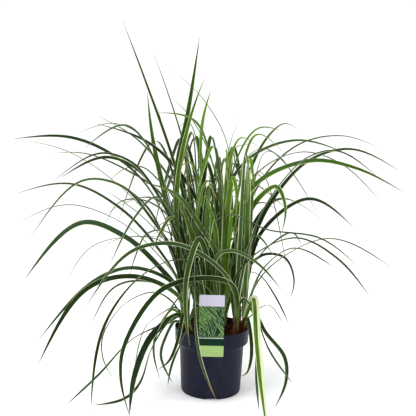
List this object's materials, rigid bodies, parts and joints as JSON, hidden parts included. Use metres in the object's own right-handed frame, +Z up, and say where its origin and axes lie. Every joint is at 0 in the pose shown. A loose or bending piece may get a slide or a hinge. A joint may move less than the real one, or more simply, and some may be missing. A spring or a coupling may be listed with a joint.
{
  "type": "potted sedge",
  "caption": "Potted ornamental sedge: arching cream-edged grassy leaves in bark soil, in a round dark nursery pot with a card tag hung over the rim",
  "frame": {"origin": "centre of the pot's flat underside, on the surface it stands on", "axes": "+Z up along the pot's axis, -Y towards the side with the tag, +X to the right of someone who faces the tag"},
  "size_m": [0.9031, 0.6845, 0.8295],
  "materials": {
    "pot_plastic": "satin, moulded polypropylene",
    "soil_mix": "rough, damp bark and peat mix",
    "card": "satin, coated card",
    "leaf": "satin, waxy sedge blades with cream edges"
  },
  "bodies": {
    "root": {"pot": "pot_plastic", "soil": "soil_mix", "label_tag": "card", "shoot_01": "leaf", "shoot_02": "leaf", "shoot_03": "leaf", "shoot_04": "leaf", "shoot_05": "leaf", "shoot_06": "leaf", "shoot_07": "leaf", "shoot_08": "leaf", "shoot_09": "leaf", "shoot_10": "leaf", "shoot_11": "leaf", "shoot_12": "leaf", "shoot_13": "leaf", "shoot_14": "leaf", "shoot_15": "leaf", "shoot_16": "leaf"}
  },
  "joints": []
}
